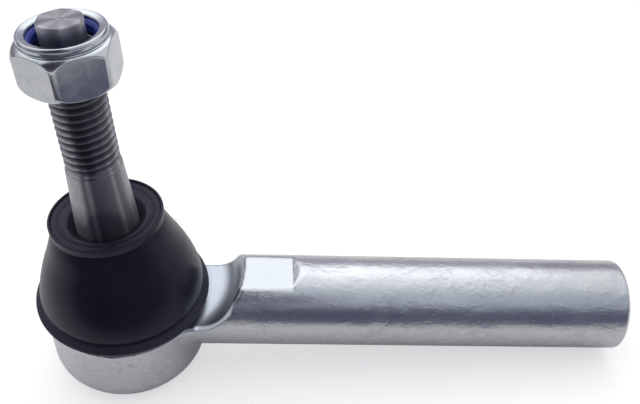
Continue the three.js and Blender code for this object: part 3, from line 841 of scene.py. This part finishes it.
turned_piece("nylon_ring", fillet([(6.12, 71.1, 0.15), (7.66, 71.1, 0.2), (7.66, 73.5, 0.2), (6.7, 73.5, 0.3), (6.12, 72.8, 0.3)], closed=True),
             96, NYLON, "nut_travel", ["nylon_insert"], stud_frame)

# ------------------------------------------------------------------ boot: one moulding, in two lengths that meet at the seam
SEAM = 15.0
outer = curve_through([(19.46, 5.56), (19.62, 6.3), (19.58, 7.2), (19.42, 8.2), (19.0, 10.0), (18.4, 12.0), (17.72, 13.9),
                       (16.85, 16.0), (15.92, 18.0), (15.0, 20.0), (14.16, 22.0), (13.45, 23.6), (12.85, 24.7), (12.42, 25.45)], 0.3)
lower_out = [p for p in outer if p[1] < SEAM - 0.05]
upper_out = [p for p in outer if p[1] > SEAM + 0.05]
a, b = lower_out[-1], upper_out[0]
seam_r = a[0] + (b[0] - a[0]) * (SEAM - a[1]) / (b[1] - a[1])
thick = 1.55
base = fillet([(17.25, 1.45, 0.2), (19.1, 1.42, 0.3), (20.35, 2.6, 0.6), (21.0, 3.75, 0.22), (20.95, 4.15, 0.25), (19.62, 5.25, 0.18), (19.46, 5.56, 0.1)])
inner_low = [(seam_r - thick, SEAM), (18.4 - thick, 11.9), (19.0 - thick, 9.8), (17.6, 7.6), (17.2, 6.9), (17.2, 5.45),
             (18.8, 5.45), (18.8, 2.5), (17.25, 2.5)]
low = densify(base[:-1] + lower_out + [(seam_r, SEAM)], 0.5) + densify(inner_low, 0.7)
lv, lf = polar(low, 160, closed=True)
boot_low = make("boot_lower", lv, lf, RUBBER, leaned, 38, {"pale_zone": 1 - smoothstep(4.9, 5.6, lv[:, 2])})

flange = fillet([
    (12.40, 25.5, 0.3), (12.55, 25.75, 0.3), (13.15, 26.05, 0.35), (13.17, 27.75, 0.18), (12.98, 28.02, 0.14), (12.66, 28.0, 0.14), (12.45, 27.45, 0.3),
    (11.65, 27.2, 0.4), (11.25, 27.36, 0.25), (10.9, 27.1, 0.3), (9.7, 26.72, 0.4), (9.25, 26.86, 0.25), (8.9, 26.7, 0.35),
    (8.1, 25.9, 0.5), (7.36, 25.3, 0.3), (7.32, 22.7, 0.3), (8.9, 22.7, 0.3), (9.05, 24.9, 0.6), (11.3, 24.9, 0.5)])
up_in = [(11.95, 23.9), (15.0 - thick, 20.0), (15.92 - thick, 18.0), (seam_r - thick, SEAM)]
up = [(seam_r, SEAM)] + densify(upper_out, 0.5) + densify(flange, 0.5) + densify(up_in, 0.7)
uv, uf = polar(up, 160, closed=True)
boot_up = make("boot_upper", uv, uf, RUBBER, leaned, 38, {"pale_zone": 0.6 * smoothstep(25.4, 26.0, uv[:, 2])})

ring_v, ring_f = polar(fillet([(17.25, 2.75, 0.2), (18.65, 2.75, 0.2), (18.65, 5.2, 0.2), (17.25, 5.2, 0.2)], closed=True), 128, closed=True)
ring = make("boot_base_grip_ring", ring_v, ring_f, SPRING)
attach(ring, "housing")
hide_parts("boot_base_ring")


def coil_ring(name, major, minor, z, turns):
    """A garter of close-wound wire, closed on itself."""
    n = turns * 10
    t = np.linspace(0, 2 * math.pi, n, endpoint=False)
    centre = np.stack([(major + minor * np.cos(turns * t)) * np.cos(t), (major + minor * np.cos(turns * t)) * np.sin(t),
                       z + minor * np.sin(turns * t)], 1)
    tangent = np.roll(centre, -1, 0) - np.roll(centre, 1, 0)
    tangent /= np.linalg.norm(tangent, axis=1, keepdims=True)
    hub = np.stack([major * np.cos(t), major * np.sin(t), np.full(n, z)], 1)
    a_ = centre - hub
    a_ /= np.linalg.norm(a_, axis=1, keepdims=True)
    b_ = np.cross(tangent, a_)
    sides = 6
    pts = [centre + 0.17 * (math.cos(q) * a_ + math.sin(q) * b_) for q in np.linspace(0, 2 * math.pi, sides, endpoint=False)]
    vv = np.stack(pts, 1).reshape(-1, 3)
    i = np.arange(n)
    quads = []
    for s in range(sides):
        s1 = (s + 1) % sides
        quads.append(np.stack([i * sides + s, i * sides + s1, ((i + 1) % n) * sides + s1, ((i + 1) % n) * sides + s], 1))
    return vv, [np.concatenate(quads)]


gv, gf = coil_ring("boot_lip_garter", 9.88, 0.42, 23.7, 150)
garter = make("boot_lip_garter", gv, gf, SPRING, stud_frame, 60)
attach(garter, "boot_lip")
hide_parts("boot_top_ring")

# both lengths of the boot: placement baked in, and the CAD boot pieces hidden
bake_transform(boot_low)
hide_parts("boot_base", "boot_wall")
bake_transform(boot_up)
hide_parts("boot_top")

# ------------------------------------------------------------------ floor, light and camera
FLOOR_TILT = math.atan2(6.3, 109.3)           # the part leans on the socket's lower edge and the shank's end


def plain(name, colour, rough):
    m, nt, p = material(name)
    p.inputs["Base Color"].default_value = (*colour, 1)
    p.inputs["Roughness"].default_value = rough
    p.inputs["Specular IOR Level"].default_value = 0.2
    return m


def plane(name, size, matrix, mat):
    me = bpy.data.meshes.new(name)
    sx, sy = size[0] / 2, size[1] / 2
    me.from_pydata([(-sx, -sy, 0), (sx, -sy, 0), (sx, sy, 0), (-sx, sy, 0)], [], [(0, 1, 2, 3)])
    me.materials.append(mat)
    o = bpy.data.objects.new(name, me)
    o.matrix_world = matrix
    bpy.context.scene.collection.objects.link(o)
    return o


tilt = Matrix.Rotation(-FLOOR_TILT, 4, "Y")
touch = Vector((16.6 * MM, 0, (BALL_Z - 17.75) * MM))
# the paper is lit from below as well, as on a light table, so that it stays near white round the part.
# What the metal sees of it is the same sheet without that light.
paper = plain("floor_white", (0.56, 0.545, 0.53), 0.6)
paper_node = next(n for n in paper.node_tree.nodes if n.type == "BSDF_PRINCIPLED")
paper_node.inputs["Emission Color"].default_value = (1.0, 1.0, 1.0, 1)
paper_node.inputs["Emission Strength"].default_value = 0.55
floor = plane("floor", (6.0, 6.0), Matrix.Translation(touch) @ tilt, paper)
floor.visible_diffuse = floor.visible_glossy = floor.visible_transmission = floor.visible_shadow = False
under = plane("floor_bounce", (6.0, 6.0), Matrix.Translation(touch - Vector((0, 0, 0.0002))) @ tilt, plain("bounce_white", (0.93, 0.89, 0.85), 0.6))
under.visible_camera = False


def softbox(name, location, target, size, power, colour=(1, 1, 1)):
    data = bpy.data.lights.new(name, "AREA")
    data.shape = "RECTANGLE"
    data.size, data.size_y = size
    data.energy = power
    data.color = colour
    o = bpy.data.objects.new(name, data)
    o.location = location
    o.rotation_mode = "QUATERNION"
    o.rotation_quaternion = (Vector(target) - Vector(location)).to_track_quat("-Z", "Y")
    bpy.context.scene.collection.objects.link(o)
    return o


# a long softbox above and behind: seen by the metal as the bright band along the shank
softbox("key_behind", (-0.22, 0.72, 0.89), (-0.22, 0.0, 0.02), (1.45, 0.80), 2.45, (0.97, 1.0, 1.0))

world = bpy.data.worlds.new("studio")
world.use_nodes = True
wt = world.node_tree
wk = Nodes.__new__(Nodes)
wk.nt = wt
bg = wt.nodes["Background"]
bg.inputs["Strength"].default_value = 1.9
sep = wt.nodes.new("ShaderNodeSeparateXYZ")
wt.links.new(wt.nodes.new("ShaderNodeTexCoord").outputs["Generated"], sep.inputs[0])
# the room, by angle from the front horizon (0) over the top (0.5) to the back horizon (1)
over = wk.math("DIVIDE", wk.math("ARCTAN2", sep.outputs["Z"], wk.math("MULTIPLY", sep.outputs["Y"], -1.0)), math.pi, clamp=True)
room = wk.ramp(over, [
    (0.0, (0.10, 0.11, 0.16)), (0.15, (0.10, 0.11, 0.16)), (0.24, (0.37, 0.40, 0.45)), (0.42, (0.45, 0.49, 0.53)),
    (0.49, (0.72, 0.745, 0.76)), (0.80, (0.74, 0.755, 0.765)), (0.84, (0.30, 0.285, 0.33)), (1.0, (0.24, 0.23, 0.28))])
side = wt.nodes.new("ShaderNodeMapRange")
side.inputs["From Min"].default_value = -0.92
side.inputs["From Max"].default_value = -0.35
side.inputs["To Min"].default_value = 0.60
side.inputs["To Max"].default_value = 1.0
wt.links.new(sep.outputs["X"], side.inputs["Value"])
far_end = wt.nodes.new("ShaderNodeMapRange")
far_end.inputs["From Min"].default_value = 0.20
far_end.inputs["From Max"].default_value = 0.45
far_end.inputs["To Min"].default_value = 1.0
far_end.inputs["To Max"].default_value = 0.72
wt.links.new(sep.outputs["X"], far_end.inputs["Value"])
level = wk.math("MULTIPLY", side.outputs[0], far_end.outputs[0])
wt.links.new(wk.mix(level, (0.0, 0.0, 0.0), room), bg.inputs["Color"])
bpy.context.scene.world = world

# dark cards in front, as a photographer uses to give bright metal its dark reflections
CARDS = [
    ("dark_card_right", (0.20, 0.050), (0.10, -0.072, 0.030), (0.0, 1.0, 0.0), (0.145, 0.155, 0.23)),
    ("dark_card_left", (0.09, 0.050), (-0.045, -0.072, 0.030), (0.0, 1.0, 0.0), (0.075, 0.07, 0.105)),
    ("camera_body", (0.17, 0.08), (-0.030, -0.137, 0.178), (0.0, 0.137, -0.158), (0.09, 0.08, 0.12)),
    ("photographer", (0.13, 0.13), (-0.062, -0.088, 0.222), (0.041, 0.071, -0.12), (0.05, 0.04, 0.07)),
    ("photographer_above", (0.075, 0.10), (-0.050, -0.025, 0.262), (0.0, 0.0, -1.0), (0.06, 0.05, 0.08)),
]
for name, size, at, toward, colour in CARDS:
    face = Vector(toward).to_track_quat("Z", "Y").to_matrix().to_4x4()
    card = plane(name, size, Matrix.Translation(at) @ face, plain(name + "_cloth", colour, 0.8))
    card.visible_camera = False
    card.visible_diffuse = False
    card.visible_shadow = False

cam_data = bpy.data.cameras.new("camera")
cam = bpy.data.objects.new("camera", cam_data)
bpy.context.scene.collection.objects.link(cam)
cam_data.sensor_width = 36.0
cam_data.lens = 784.507 / 640 * 36
cam_data.clip_start, cam_data.clip_end = 0.01, 20
yaw, pitch, roll = 0.0736452, 0.7416685, 0.0707250
forward = Vector((math.sin(yaw) * math.cos(pitch), math.cos(yaw) * math.cos(pitch), -math.sin(pitch)))
right = Vector((math.cos(yaw), -math.sin(yaw), 0))
up_ = right.cross(forward)
r2 = math.cos(roll) * right + math.sin(roll) * up_
u2 = -math.sin(roll) * right + math.cos(roll) * up_
m = Matrix((r2, u2, -forward)).transposed().to_4x4()
m.translation = Vector((37.7208, -130.857, 154.1647 + BALL_Z)) * MM
cam.matrix_world = m
bpy.context.scene.camera = cam
bpy.context.scene.view_settings.view_transform = "Standard"
bpy.context.scene.view_settings.look = "None"
